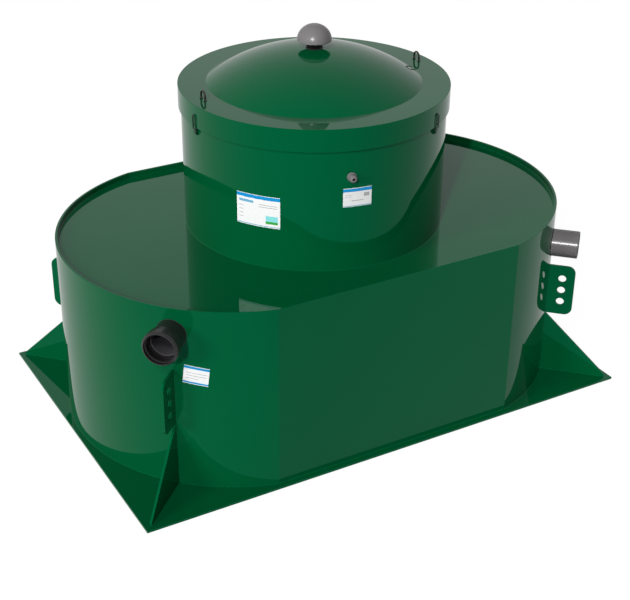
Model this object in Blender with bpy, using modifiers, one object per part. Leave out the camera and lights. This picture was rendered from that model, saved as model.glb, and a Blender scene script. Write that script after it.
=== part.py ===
"""Biological sewage treatment unit: an oval plastic tank on a base plate, with a round
service neck, a lift-off domed lid, an inlet socket and an outlet pipe.

Metres, +Z up, +X along the tank, -Y towards the labels. The origin is the centre of the
base plate's underside.
"""
import math

import bmesh
import bpy
from mathutils import Matrix, Vector

# Gap between two pieces that touch
GAP = 0.0003

# Base plate
PLATE_LENGTH = 2.106
PLATE_WIDTH = 1.380
SHEET = 0.009

# Oval tank: two flat sides and two round ends whose centres lie on the long axis
TANK_WIDTH = 1.334
END_RADIUS = 0.6877
FLAT_HALF_LENGTH = 0.513
RIM_Z = 0.746
DECK_TOP_Z = 0.723
DECK_T = 0.008

# Round neck and its lid
NECK_RADIUS = 0.506
NECK_T = 0.008
LID_RADIUS = 0.516
SKIRT_T = 0.006
SKIRT_BOTTOM_Z = 1.192
RING_TOP_Z = 1.278
RING_T = 0.008
RING_HOLE_RADIUS = 0.385
DOME_RADIUS = 0.409
DOME_RISE = 0.125
DOME_T = 0.006

# Vent on the dome
VENT_PIPE_RADIUS = 0.030
VENT_PIPE_T = 0.003
VENT_CAP_RADIUS = 0.0655
VENT_CAP_Z = 1.4325
VENT_CAP_RISE = 0.0605
VENT_CAP_CROWN = 0.058
VENT_CAP_DROP = 0.008
VENT_CAP_MOUTH_RADIUS = 0.056
VENT_CAP_T = 0.004

# Corner gussets and the lugs above them, both in the upright plane through a plate corner
GUSSET_TOP_Z = 0.278
GUSSET_TOE_CLEARANCE = 0.034
GUSSET_TOE_HEIGHT = 0.010
LUG_HEIGHT = 0.220
LUG_REACH = 0.105
LUG_CORNER_RADIUS = 0.024
LUG_HOLE_RADIUS = 0.016
LUG_HOLE_REACH = 0.054
LUG_HOLE_PITCH = 0.052

# Pipes through the round ends, above the front lugs
PIPE_RADIUS = 0.055
PIPE_T = 0.0045
PIPE_INSIDE = 0.045
INLET_Z = 0.644
INLET_REACH = 0.113
SOCKET_DEPTH = 0.054
SOCKET_RADIUS = 0.0605
SOCKET_INSIDE_RADIUS = 0.0575
SOCKET_BEAD_RADIUS = 0.0665
SOCKET_BEAD_LENGTH = 0.026
SOCKET_LIP_T = 0.003
OUTLET_Z = 0.599
OUTLET_REACH = 0.104

# Wire eyes on the lid ring
EYE_X = 0.4635
EYE_WIDTH = 0.033
EYE_HEIGHT = 0.037
EYE_WIRE_RADIUS = 0.0036

# Lid latches: a block on the neck and a bail over the skirt
LATCH_ANGLES = (-176.5, -59.5, 61.0)
LATCH_BLOCK_WIDTH = 0.018
LATCH_BLOCK_HEIGHT = 0.026
LATCH_BLOCK_REACH = 0.014
BAIL_WIDTH = 0.019
BAIL_TOP_Z = 1.243
BAIL_WIRE_RADIUS = 0.0022

# Cable gland on the neck
GLAND_ANGLE = -104.2
GLAND_Z = 1.091
GLAND_FLANGE_RADIUS = 0.0175
GLAND_FLANGE_T = 0.006
GLAND_NUT_RADIUS = 0.0145
GLAND_LENGTH = 0.030
GLAND_BORE_RADIUS = 0.0055

# Labels: angle of their middle, arc width, bottom and top
LABEL_T = 0.001
LARGE_LABEL = (-142.9, 0.172, 0.8795, 1.006)
SMALL_LABEL = (-101.5, 0.108, 0.9695, 1.048)
INLET_LABEL = (-128.6, 0.093, 0.448, 0.522)
INLET_LABEL_TILT = -7.0

GREEN = (0.0, 0.135, 0.045)
DARK_GREEN = (0.0, 0.062, 0.024)
BLACK = (0.015, 0.014, 0.015)
PIPE_GREY = (0.155, 0.145, 0.150)
CAP_GREY = (0.205, 0.195, 0.200)
WHITE = (0.80, 0.82, 0.82)
STEEL = (0.20, 0.18, 0.17)
GLOSS_GREEN = (GREEN, 0.12, 0.0)

TANK_STEPS = 36
ROUND_STEPS = 72
PIPE_STEPS = 32

END_CENTRE_X = FLAT_HALF_LENGTH - math.sqrt(END_RADIUS**2 - (TANK_WIDTH / 2) ** 2)
CORNER_RUN = Vector((PLATE_LENGTH / 2 - END_CENTRE_X, PLATE_WIDTH / 2))
CORNER_ANGLE = math.atan2(CORNER_RUN.y, CORNER_RUN.x)
WALL_FOOT_Z = SHEET + GAP


def clear_scene():
    """Remove every object of the open file."""
    for item in list(bpy.data.objects):
        bpy.data.objects.remove(item, do_unlink=True)


def new_collection(name):
    """A collection in the scene."""
    group = bpy.data.collections.new(name)
    bpy.context.scene.collection.children.link(group)
    return group


def make_material(name, colour, roughness, metallic=0.0):
    """A plain surface for one kind of piece."""
    material = bpy.data.materials.new(name)
    material.use_nodes = True
    shader = material.node_tree.nodes["Principled BSDF"]
    shader.inputs["Base Color"].default_value = (*colour, 1.0)
    shader.inputs["Roughness"].default_value = roughness
    shader.inputs["Metallic"].default_value = metallic
    return material


def add_object(name, data, matrix, surface):
    """Link a mesh or curve as one of the unit's pieces."""
    item = bpy.data.objects.new(name, data)
    item.matrix_world = matrix
    colour, roughness, metallic = surface
    item.data.materials.append(make_material(name, colour, roughness, metallic))
    UNIT.objects.link(item)
    return item


def curve_to_mesh(curve):
    """Replace a curve object by its mesh, with the caps welded on."""
    bpy.context.view_layer.update()
    evaluated = curve.evaluated_get(bpy.context.evaluated_depsgraph_get())
    mesh = bpy.data.meshes.new_from_object(evaluated)
    welded = bmesh.new()
    welded.from_mesh(mesh)
    bmesh.ops.remove_doubles(welded, verts=welded.verts, dist=0.00001)
    welded.to_mesh(mesh)
    welded.free()
    solid = bpy.data.objects.new(curve.name, mesh)
    solid.matrix_world = curve.matrix_world.copy()
    UNIT.objects.link(solid)
    name = curve.name
    bpy.data.objects.remove(curve, do_unlink=True)
    solid.name = name
    return solid


def flat_piece(name, outlines, thickness, matrix, surface):
    """A plate from closed outlines in its own XY plane; the later outlines are holes."""
    curve = bpy.data.curves.new(name, "CURVE")
    curve.dimensions = "2D"
    curve.fill_mode = "BOTH"
    curve.extrude = thickness / 2
    for outline in outlines:
        spline = curve.splines.new("POLY")
        spline.points.add(len(outline) - 1)
        for point, (x, y) in zip(spline.points, outline):
            point.co = (x, y, 0.0, 1.0)
        spline.use_cyclic_u = True
    return curve_to_mesh(add_object(name, curve, matrix, surface))


def turned_piece(name, profile, matrix, surface, steps, closed):
    """A turned shape from a profile of (radius, height) points, outer side first, going down."""
    mesh = bpy.data.meshes.new(name)
    edges = [(i, i + 1) for i in range(len(profile) - 1)]
    if closed:
        edges.append((len(profile) - 1, 0))
    mesh.from_pydata([(radius, 0.0, height) for radius, height in profile], edges, [])
    piece = add_object(name, mesh, matrix, surface)
    screw = piece.modifiers.new("turn", "SCREW")
    screw.steps = steps
    screw.render_steps = steps
    screw.use_merge_vertices = True
    screw.merge_threshold = 0.00001
    screw.use_smooth_shade = True
    return piece


def wire_piece(name, route, radius, matrix, surface, resolution=3):
    """A round wire along a route of points."""
    curve = bpy.data.curves.new(name, "CURVE")
    curve.dimensions = "3D"
    curve.bevel_depth = radius
    curve.bevel_resolution = resolution
    curve.use_fill_caps = True
    spline = curve.splines.new("POLY")
    spline.points.add(len(route) - 1)
    for point, place in zip(spline.points, route):
        point.co = (*place, 1.0)
    return curve_to_mesh(add_object(name, curve, matrix, surface))


def arc(centre_x, centre_y, radius, start, end, steps):
    """Points of an arc, angles in radians, both ends included."""
    points = []
    for i in range(steps + 1):
        angle = start + (end - start) * i / steps
        points.append((centre_x + radius * math.cos(angle), centre_y + radius * math.sin(angle)))
    return points


def circle(centre_x, centre_y, radius, steps):
    """A closed circle of points."""
    return arc(centre_x, centre_y, radius, 0.0, 2 * math.pi, steps)[:-1]


def upright_frame(x, y, z, angle):
    """A frame whose X points out along an angle, whose Y points up, and Z sideways."""
    out = Vector((math.cos(angle), math.sin(angle), 0.0))
    side = Vector((math.sin(angle), -math.cos(angle), 0.0))
    rotation = Matrix((out, Vector((0.0, 0.0, 1.0)), side)).transposed()
    return Matrix.Translation((x, y, z)) @ rotation.to_4x4()


def radial_frame(x, y, z, angle):
    """A frame whose Z points out along an angle, for pieces turned about that line."""
    out = Vector((math.cos(angle), math.sin(angle), 0.0))
    side = Vector((-math.sin(angle), math.cos(angle), 0.0))
    rotation = Matrix((side, Vector((0.0, 0.0, 1.0)), out)).transposed()
    return Matrix.Translation((x, y, z)) @ rotation.to_4x4()


def end_point(sign_x, angle, reach):
    """A point at a reach from the round end's wall, on the line out of its centre."""
    run = END_RADIUS + reach
    return sign_x * END_CENTRE_X + run * math.cos(angle), run * math.sin(angle)


def corner_angle(sign_x, sign_y):
    """Direction from a round end's centre to the plate corner beside it."""
    angle = CORNER_ANGLE if sign_x > 0 else math.pi - CORNER_ANGLE
    return angle * sign_y


def bore(piece, frame, radius):
    """Drill a round hole through a piece along a frame's Z axis."""
    mesh = bpy.data.meshes.new(piece.name + "_drill")
    drill = bmesh.new()
    bmesh.ops.create_cone(
        drill, cap_ends=True, segments=PIPE_STEPS, radius1=radius, radius2=radius, depth=0.3
    )
    drill.to_mesh(mesh)
    drill.free()
    cutter = bpy.data.objects.new(piece.name + "_drill", mesh)
    cutter.matrix_world = frame
    cutter.hide_render = True
    cutter.display_type = "WIRE"
    CUTTERS.objects.link(cutter)
    cut = piece.modifiers.new("bore", "BOOLEAN")
    cut.operation = "DIFFERENCE"
    cut.object = cutter


def box_piece(name, low, high, surface):
    """A plain rectangular solid between two corners."""
    mesh = bpy.data.meshes.new(name)
    shape = bmesh.new()
    bmesh.ops.create_cube(shape, size=1.0)
    size = [b - a for a, b in zip(low, high)]
    bmesh.ops.scale(shape, vec=size, verts=shape.verts)
    shape.to_mesh(mesh)
    shape.free()
    middle = [(a + b) / 2 for a, b in zip(low, high)]
    return add_object(name, mesh, Matrix.Translation(middle), surface)


def make_base():
    """The rectangular sheet that carries everything."""
    half_x = PLATE_LENGTH / 2
    half_y = PLATE_WIDTH / 2
    box_piece("base_plate", (-half_x, -half_y, 0.0), (half_x, half_y, SHEET), GLOSS_GREEN)


def make_walls():
    """Two flat sides and two round ends, standing on the base plate."""
    half_y = TANK_WIDTH / 2
    half_x = FLAT_HALF_LENGTH - GAP / 2
    for name, sign in (("tank_front_wall", -1), ("tank_back_wall", 1)):
        sides = sorted((sign * half_y, sign * (half_y - SHEET)))
        low = (-half_x, sides[0], WALL_FOOT_Z)
        high = (half_x, sides[1], RIM_Z)
        box_piece(name, low, high, GLOSS_GREEN)
    reach_x = FLAT_HALF_LENGTH + GAP / 2 - END_CENTRE_X
    outer = math.acos(reach_x / END_RADIUS)
    inner = math.acos(reach_x / (END_RADIUS - SHEET))
    height = RIM_Z - WALL_FOOT_Z
    for name, sign in (("tank_left_end", -1), ("tank_right_end", 1)):
        band = arc(END_CENTRE_X, 0.0, END_RADIUS, -outer, outer, TANK_STEPS)
        band += arc(END_CENTRE_X, 0.0, END_RADIUS - SHEET, inner, -inner, TANK_STEPS)
        outline = [(sign * x, y) for x, y in band]
        place = Matrix.Translation((0.0, 0.0, WALL_FOOT_Z + height / 2))
        wall = flat_piece(name, [outline], height, place, GLOSS_GREEN)
        z, reach = (INLET_Z, INLET_REACH) if sign < 0 else (OUTLET_Z, OUTLET_REACH)
        angle = corner_angle(sign, -1)
        x, y = end_point(sign, angle, 0.0)
        bore(wall, radial_frame(x, y, z, angle), PIPE_RADIUS + GAP)


def make_deck():
    """The flat roof inside the tank's rim, open under the neck."""
    radius = END_RADIUS - SHEET - 2 * GAP
    half_y = TANK_WIDTH / 2 - SHEET - GAP
    bend = math.asin(half_y / radius)
    outline = arc(END_CENTRE_X, 0.0, radius, -bend, bend, TANK_STEPS)
    outline += arc(-END_CENTRE_X, 0.0, radius, math.pi - bend, math.pi + bend, TANK_STEPS)
    hole = circle(0.0, 0.0, NECK_RADIUS - NECK_T, ROUND_STEPS)
    place = Matrix.Translation((0.0, 0.0, DECK_TOP_Z - DECK_T / 2))
    flat_piece("tank_deck", [outline, hole], DECK_T, place, GLOSS_GREEN)


def tube_profile(outer, inner, bottom, top):
    """A closed tube profile, outer side first."""
    return [(outer, top), (outer, bottom), (inner, bottom), (inner, top)]


def make_neck():
    """The round service neck on the deck."""
    top = RING_TOP_Z - RING_T - GAP
    profile = tube_profile(NECK_RADIUS, NECK_RADIUS - NECK_T, DECK_TOP_Z + GAP, top)
    turned_piece("neck_wall", profile, Matrix(), GLOSS_GREEN, ROUND_STEPS, True)


def make_lid():
    """Skirt, flat ring and dome of the lift-off lid."""
    ring_bottom = RING_TOP_Z - RING_T
    skirt = tube_profile(LID_RADIUS, LID_RADIUS - SKIRT_T, SKIRT_BOTTOM_Z, ring_bottom - GAP)
    turned_piece("lid_skirt", skirt, Matrix(), GLOSS_GREEN, ROUND_STEPS, True)
    ring = tube_profile(LID_RADIUS, RING_HOLE_RADIUS, ring_bottom, RING_TOP_Z)
    turned_piece("lid_ring", ring, Matrix(), GLOSS_GREEN, ROUND_STEPS, True)
    foot = RING_TOP_Z + GAP
    sphere = (DOME_RADIUS**2 + DOME_RISE**2) / (2 * DOME_RISE)
    centre_z = foot + DOME_RISE - sphere
    outer_hole = math.asin((VENT_PIPE_RADIUS + GAP) / sphere)
    outer_foot = math.asin(DOME_RADIUS / sphere)
    shell = sphere - DOME_T
    inner_hole = math.asin((VENT_PIPE_RADIUS + GAP) / shell)
    inner_foot = math.acos((foot - centre_z) / shell)
    steps = 9
    profile = []
    for i in range(steps + 1):
        angle = outer_hole + (outer_foot - outer_hole) * i / steps
        profile.append((sphere * math.sin(angle), centre_z + sphere * math.cos(angle)))
    for i in range(steps + 1):
        angle = inner_foot + (inner_hole - inner_foot) * i / steps
        profile.append((shell * math.sin(angle), centre_z + shell * math.cos(angle)))
    turned_piece("lid_dome", profile, Matrix(), GLOSS_GREEN, ROUND_STEPS, True)


def make_vent():
    """A short black pipe through the dome and its grey mushroom cap."""
    pipe_top = VENT_CAP_Z + VENT_CAP_T
    pipe_bottom = RING_TOP_Z + DOME_RISE - 0.040
    inner = VENT_PIPE_RADIUS - VENT_PIPE_T
    pipe = tube_profile(VENT_PIPE_RADIUS, inner, pipe_bottom, pipe_top)
    turned_piece("vent_stem", pipe, Matrix(), (BLACK, 0.35, 0.0), PIPE_STEPS, True)
    across = VENT_CAP_RADIUS
    dome = arc(0.0, 0.0, 1.0, math.asin(VENT_CAP_CROWN / VENT_CAP_RISE), 0.0, 8)
    profile = [(0.0, VENT_CAP_Z + VENT_CAP_CROWN)]
    profile += [(across * x, VENT_CAP_Z + VENT_CAP_RISE * y) for x, y in dome]
    mouth = -math.acos(VENT_CAP_MOUTH_RADIUS / across)
    under = arc(0.0, 0.0, 1.0, 0.0, mouth, 4)[1:]
    profile += [(across * x, VENT_CAP_Z + VENT_CAP_DROP * y) for x, y in under]
    mouth_z = profile[-1][1]
    sleeve = VENT_PIPE_RADIUS + VENT_CAP_T
    profile.append((VENT_CAP_MOUTH_RADIUS - VENT_CAP_T / 2, mouth_z))
    profile.append((across - VENT_CAP_T, VENT_CAP_Z))
    profile.append((sleeve + VENT_CAP_T, VENT_CAP_Z + VENT_CAP_RISE / 2))
    profile.append((sleeve, VENT_CAP_Z + VENT_CAP_RISE / 3))
    profile.append((sleeve, mouth_z))
    profile.append((VENT_PIPE_RADIUS + GAP, mouth_z))
    profile.append((VENT_PIPE_RADIUS + GAP, pipe_top + GAP))
    profile.append((0.0, pipe_top + GAP))
    turned_piece("vent_cap", profile, Matrix(), (CAP_GREY, 0.22, 0.0), PIPE_STEPS, False)


def make_corners():
    """A triangular gusset and a lug with three holes at each plate corner."""
    corner_reach = CORNER_RUN.length - END_RADIUS
    toe = corner_reach - GUSSET_TOE_CLEARANCE
    gusset = [
        (0.0, 0.0),
        (toe, 0.0),
        (toe, GUSSET_TOE_HEIGHT),
        (0.0, GUSSET_TOP_Z - WALL_FOOT_Z),
    ]
    edge = LUG_REACH - LUG_CORNER_RADIUS
    rise = LUG_HEIGHT / 2 - LUG_CORNER_RADIUS
    lug = [(0.0, LUG_HEIGHT / 2), (0.0, -LUG_HEIGHT / 2)]
    lug += arc(edge, -rise, LUG_CORNER_RADIUS, -math.pi / 2, 0.0, 6)
    lug += arc(edge, rise, LUG_CORNER_RADIUS, 0.0, math.pi / 2, 6)
    holes = [circle(LUG_HOLE_REACH, k * LUG_HOLE_PITCH, LUG_HOLE_RADIUS, 20) for k in (-1, 0, 1)]
    lug_z = GUSSET_TOP_Z + GAP + LUG_HEIGHT / 2
    for side, sign_x in (("left", -1), ("right", 1)):
        for face, sign_y in (("front", -1), ("back", 1)):
            angle = corner_angle(sign_x, sign_y)
            x, y = end_point(sign_x, angle, GAP)
            foot = upright_frame(x, y, WALL_FOOT_Z, angle)
            flat_piece(f"gusset_{face}_{side}", [gusset], SHEET, foot, GLOSS_GREEN)
            middle = upright_frame(x, y, lug_z, angle)
            flat_piece(f"lug_{face}_{side}", [lug] + holes, SHEET, middle, GLOSS_GREEN)


def make_pipes():
    """Inlet pipe with its push-fit socket, and the plain outlet pipe."""
    inner = PIPE_RADIUS - PIPE_T
    angle = corner_angle(-1, -1)
    x, y = end_point(-1, angle, 0.0)
    frame = radial_frame(x, y, INLET_Z, angle)
    pipe_end = INLET_REACH - SOCKET_DEPTH
    profile = tube_profile(PIPE_RADIUS, inner, -PIPE_INSIDE, pipe_end)
    turned_piece("inlet_pipe", profile, frame, (BLACK, 0.3, 0.0), PIPE_STEPS, True)
    bead_front = INLET_REACH - 2 * SOCKET_LIP_T
    bead_back = bead_front - SOCKET_BEAD_LENGTH
    collar = SOCKET_RADIUS + SOCKET_LIP_T
    socket = [
        (SOCKET_RADIUS, INLET_REACH),
        (collar, INLET_REACH - SOCKET_LIP_T),
        (collar, bead_front),
        (SOCKET_BEAD_RADIUS, bead_front - SOCKET_LIP_T),
        (SOCKET_BEAD_RADIUS, bead_back + SOCKET_LIP_T),
        (collar, bead_back),
        (collar, pipe_end),
        (SOCKET_RADIUS, pipe_end - 2 * SOCKET_LIP_T),
        (SOCKET_RADIUS, 2 * GAP),
        (PIPE_RADIUS + GAP, 2 * GAP),
        (PIPE_RADIUS + GAP, pipe_end + 0.5 * SOCKET_LIP_T),
        (SOCKET_INSIDE_RADIUS, pipe_end + 2 * SOCKET_LIP_T),
        (SOCKET_INSIDE_RADIUS, INLET_REACH),
    ]
    turned_piece("inlet_socket", socket, frame, (BLACK, 0.3, 0.0), PIPE_STEPS, True)
    angle = corner_angle(1, -1)
    x, y = end_point(1, angle, 0.0)
    frame = radial_frame(x, y, OUTLET_Z, angle)
    profile = [
        (PIPE_RADIUS - 0.002, OUTLET_REACH),
        (PIPE_RADIUS, OUTLET_REACH - 0.003),
        (PIPE_RADIUS, -PIPE_INSIDE),
        (inner, -PIPE_INSIDE),
        (inner, OUTLET_REACH),
    ]
    turned_piece("outlet_pipe", profile, frame, (PIPE_GREY, 0.25, 0.0), PIPE_STEPS, True)


def make_eyes():
    """Two upright wire eyes on the lid ring, for lifting the lid."""
    half = EYE_WIDTH / 2
    straight = EYE_HEIGHT - EYE_WIRE_RADIUS - half
    route = [(half, 0.0, 0.0), (half, 0.0, straight * 0.5)]
    route += [(x, 0.0, z) for x, z in arc(0.0, straight, half, 0.0, math.pi, 12)]
    route += [(-half, 0.0, straight * 0.5), (-half, 0.0, 0.0)]
    for name, sign in (("lifting_eye_left", -1), ("lifting_eye_right", 1)):
        place = Matrix.Translation((sign * EYE_X, 0.0, RING_TOP_Z + GAP))
        turn = Matrix.Rotation(math.pi / 2, 4, "Z")
        wire_piece(name, route, EYE_WIRE_RADIUS, place @ turn, (STEEL, 0.25, 1.0))


def make_latches():
    """Three latches that hold the lid: a block on the neck and a wire bail on the skirt."""
    block_top = SKIRT_BOTTOM_Z - 0.004
    block_middle = block_top - LATCH_BLOCK_HEIGHT / 2
    inner = NECK_RADIUS + 2 * GAP
    outer = NECK_RADIUS + LATCH_BLOCK_REACH
    spread = LATCH_BLOCK_WIDTH / 2 / NECK_RADIUS
    outline = arc(0.0, 0.0, inner, -spread, spread, 4)
    outline += arc(0.0, 0.0, outer, spread, -spread, 4)
    bail_reach = LID_RADIUS + 0.001 + BAIL_WIRE_RADIUS
    half = BAIL_WIDTH / 2
    foot = block_top + GAP
    shoulder = BAIL_TOP_Z - BAIL_WIRE_RADIUS - half
    route = [(bail_reach, half, foot), (bail_reach, half, (foot + shoulder) / 2)]
    route += [(bail_reach, y, z) for y, z in arc(0.0, shoulder, half, 0.0, math.pi, 10)]
    route += [(bail_reach, -half, (foot + shoulder) / 2), (bail_reach, -half, foot)]
    for number, degrees in enumerate(LATCH_ANGLES, start=1):
        turn = Matrix.Rotation(math.radians(degrees), 4, "Z")
        place = turn @ Matrix.Translation((0.0, 0.0, block_middle))
        surface = (DARK_GREEN, 0.3, 0.0)
        flat_piece(f"latch_block_{number}", [outline], LATCH_BLOCK_HEIGHT, place, surface)
        wire_piece(f"latch_bail_{number}", route, BAIL_WIRE_RADIUS, turn, surface, 2)


def make_gland():
    """The cable gland on the neck: a flange and a domed nut with a cable hole."""
    angle = math.radians(GLAND_ANGLE)
    reach = NECK_RADIUS + GAP
    frame = radial_frame(reach * math.cos(angle), reach * math.sin(angle), GLAND_Z, angle)
    flange = tube_profile(GLAND_FLANGE_RADIUS, GLAND_BORE_RADIUS, 0.0, GLAND_FLANGE_T)
    surface = (CAP_GREY, 0.3, 0.0)
    turned_piece("cable_gland_flange", flange, frame, surface, 24, True)
    nut = [
        (GLAND_NUT_RADIUS - 0.006, GLAND_LENGTH),
        (GLAND_NUT_RADIUS - 0.002, GLAND_LENGTH - 0.003),
        (GLAND_NUT_RADIUS, GLAND_LENGTH - 0.009),
        (GLAND_NUT_RADIUS, GLAND_FLANGE_T + GAP),
        (GLAND_BORE_RADIUS, GLAND_FLANGE_T + GAP),
        (GLAND_BORE_RADIUS, GLAND_LENGTH),
    ]
    turned_piece("cable_gland_nut", nut, frame, surface, 24, True)


def curved_label(name, centre_x, wall_radius, label, clearance):
    """A thin sheet that follows a round wall."""
    degrees, width, bottom, top = label
    inner = wall_radius + clearance
    spread = width / 2 / wall_radius
    outline = arc(0.0, 0.0, inner, -spread, spread, 8)
    outline += arc(0.0, 0.0, inner + LABEL_T, spread, -spread, 8)
    shifted = [(x - inner, y) for x, y in outline]
    angle = math.radians(degrees)
    turn = Matrix.Rotation(angle, 4, "Z")
    x = centre_x + inner * math.cos(angle)
    y = inner * math.sin(angle)
    place = Matrix.Translation((x, y, (bottom + top) / 2)) @ turn
    return flat_piece(name, [shifted], top - bottom, place, (WHITE, 0.3, 0.0))


def make_labels():
    """Two blank labels on the neck and one beside the inlet."""
    curved_label("label_large", 0.0, NECK_RADIUS, LARGE_LABEL, GAP)
    curved_label("label_small", 0.0, NECK_RADIUS, SMALL_LABEL, GAP)
    label = curved_label("label_inlet", -END_CENTRE_X, END_RADIUS, INLET_LABEL, 3 * GAP)
    tilt = Matrix.Rotation(math.radians(INLET_LABEL_TILT), 4, "X")
    label.matrix_world = label.matrix_world @ tilt


clear_scene()
UNIT = new_collection("sewage_treatment_unit")
CUTTERS = new_collection("cutters")
make_base()
make_walls()
make_deck()
make_neck()
make_lid()
make_vent()
make_corners()
make_pipes()
make_eyes()
make_latches()
make_gland()
make_labels()
for piece in UNIT.objects:
    piece.data.shade_smooth()
    piece.data.set_sharp_from_angle(angle=math.radians(35))
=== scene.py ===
"""Looks of the biological sewage treatment unit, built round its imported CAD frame.

Metres, +Z up, +X along the tank, -Y towards the labels and both pipes. Every piece keeps
the sizes of the CAD node that it stands for and adds what the solid leaves out: smooth
round sheet, rounded edges, weld beads, seals, pipe and label details.
"""
import math

import bmesh
import bpy
from mathutils import Euler, Matrix, Vector


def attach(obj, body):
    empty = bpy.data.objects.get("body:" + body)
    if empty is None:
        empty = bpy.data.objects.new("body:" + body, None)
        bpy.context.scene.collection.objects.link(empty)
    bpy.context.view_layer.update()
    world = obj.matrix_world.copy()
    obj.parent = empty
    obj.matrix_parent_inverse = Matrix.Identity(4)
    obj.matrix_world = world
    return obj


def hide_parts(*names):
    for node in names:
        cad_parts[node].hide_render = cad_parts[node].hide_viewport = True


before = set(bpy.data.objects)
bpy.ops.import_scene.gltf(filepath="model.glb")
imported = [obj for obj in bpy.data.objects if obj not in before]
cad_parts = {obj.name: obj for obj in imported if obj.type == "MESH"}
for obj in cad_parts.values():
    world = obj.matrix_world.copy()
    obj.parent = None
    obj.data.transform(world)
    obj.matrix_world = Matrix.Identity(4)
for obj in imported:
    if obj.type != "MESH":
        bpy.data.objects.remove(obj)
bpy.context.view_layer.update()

# Sizes of the CAD source
GAP = 0.0003
PLATE_LENGTH = 2.106
PLATE_WIDTH = 1.380
SHEET = 0.009
TANK_WIDTH = 1.334
END_RADIUS = 0.6877
FLAT_HALF_LENGTH = 0.513
RIM_Z = 0.746
DECK_TOP_Z = 0.723
DECK_T = 0.008
NECK_RADIUS = 0.506
NECK_T = 0.008
LID_RADIUS = 0.516
SKIRT_T = 0.006
SKIRT_BOTTOM_Z = 1.192
RING_TOP_Z = 1.278
RING_T = 0.008
RING_HOLE_RADIUS = 0.385
DOME_RADIUS = 0.409
DOME_RISE = 0.125
DOME_T = 0.006
VENT_PIPE_RADIUS = 0.030
VENT_PIPE_T = 0.003
VENT_CAP_RADIUS = 0.0655
VENT_CAP_Z = 1.4325
VENT_CAP_RISE = 0.0605
VENT_CAP_CROWN = 0.058
VENT_CAP_DROP = 0.008
VENT_CAP_MOUTH_RADIUS = 0.056
VENT_CAP_T = 0.004
GUSSET_TOP_Z = 0.278
GUSSET_TOE_CLEARANCE = 0.034
GUSSET_TOE_HEIGHT = 0.010
LUG_HEIGHT = 0.220
LUG_REACH = 0.105
LUG_CORNER_RADIUS = 0.032
LUG_HOLE_RADIUS = 0.016
LUG_HOLE_REACH = 0.054
LUG_HOLE_PITCH = 0.052
PIPE_RADIUS = 0.055
PIPE_T = 0.0045
PIPE_INSIDE = 0.045
INLET_Z = 0.644
INLET_REACH = 0.113
SOCKET_DEPTH = 0.054
SOCKET_RADIUS = 0.0605
SOCKET_INSIDE_RADIUS = 0.0575
SOCKET_BEAD_RADIUS = 0.0665
SOCKET_BEAD_LENGTH = 0.026
SOCKET_LIP_T = 0.003
OUTLET_Z = 0.599
OUTLET_REACH = 0.104
EYE_X = 0.4635
EYE_WIDTH = 0.033
EYE_HEIGHT = 0.037
EYE_WIRE_RADIUS = 0.0036
LATCH_ANGLES = (-176.5, -59.5, 61.0)
LATCH_BLOCK_WIDTH = 0.018
LATCH_BLOCK_HEIGHT = 0.026
LATCH_BLOCK_REACH = 0.014
BAIL_WIDTH = 0.019
BAIL_TOP_Z = 1.243
BAIL_WIRE_RADIUS = 0.0022
GLAND_ANGLE = -104.2
GLAND_Z = 1.091
GLAND_FLANGE_RADIUS = 0.0175
GLAND_FLANGE_T = 0.006
GLAND_NUT_RADIUS = 0.0145
GLAND_LENGTH = 0.030
GLAND_BORE_RADIUS = 0.0055
LABEL_T = 0.001
LARGE_LABEL = (-142.9, 0.172, 0.8845, 1.007)
SMALL_LABEL = (-101.5, 0.108, 0.9745, 1.047)
INLET_LABEL = (-128.6, 0.093, 0.448, 0.522)
INLET_LABEL_TILT = -7.0

END_CENTRE_X = FLAT_HALF_LENGTH - math.sqrt(END_RADIUS**2 - (TANK_WIDTH / 2) ** 2)
CORNER_RUN = Vector((PLATE_LENGTH / 2 - END_CENTRE_X, PLATE_WIDTH / 2))
CORNER_ANGLE = math.atan2(CORNER_RUN.y, CORNER_RUN.x)
WALL_FOOT_Z = SHEET + GAP

# Softened edges, seals and beads that the CAD source leaves out
RIM_ROUND = 0.0012
CROWN_EDGE_ROUND = 0.006
OUTLET_END_ROUND = 0.004
WELD_RADIUS = 0.0020
DECK_WELD_RADIUS = 0.0017
RIPPLE_PITCH = 0.006
RIPPLE_DEPTH = 0.07
# The seal hangs below the skirt as a black line of painted shadow under its edge.
SEAL_SHADOW_LINE_HANG = 0.003
SOCKET_ROOT_RADIUS = 0.0565
SOCKET_SEAL_DEPTH = 0.012
SOCKET_SEAL_T = 0.004

# Fineness of the round pieces
BEAD_SIDES = 10
COLLAR_SIDES = 24
ROUND_STEPS = 288
END_STEPS = 144
PIPE_STEPS = 96
SMALL_STEPS = 48


# ---------------------------------------------------------------- finishes

def socket(shader, name, value):
    """Set one of the shader's own sockets."""
    shader.inputs[name].default_value = value


def speckle(tree, coordinates, scale, detail, seed):
    """Soft random values that follow the piece's own place."""
    noise = tree.nodes.new("ShaderNodeTexNoise")
    noise.noise_dimensions = "4D"
    noise.inputs["W"].default_value = seed
    noise.inputs["Scale"].default_value = scale
    noise.inputs["Detail"].default_value = detail
    tree.links.new(coordinates, noise.inputs["Vector"])
    return noise.outputs["Fac"]


def spread(tree, value, low, high, start=0.3, end=0.7):
    """Map soft random values to a range."""
    remap = tree.nodes.new("ShaderNodeMapRange")
    remap.inputs["From Min"].default_value = start
    remap.inputs["From Max"].default_value = end
    remap.inputs["To Min"].default_value = low
    remap.inputs["To Max"].default_value = high
    tree.links.new(value, remap.inputs["Value"])
    return remap.outputs["Result"]


def blend_colours(tree, amount, first, second):
    """Mix two colours by a value."""
    mix = tree.nodes.new("ShaderNodeMix")
    mix.data_type = "RGBA"
    mix.inputs[6].default_value = (*first, 1.0)
    mix.inputs[7].default_value = (*second, 1.0)
    tree.links.new(amount, mix.inputs[0])
    return mix.outputs[2]


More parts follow.
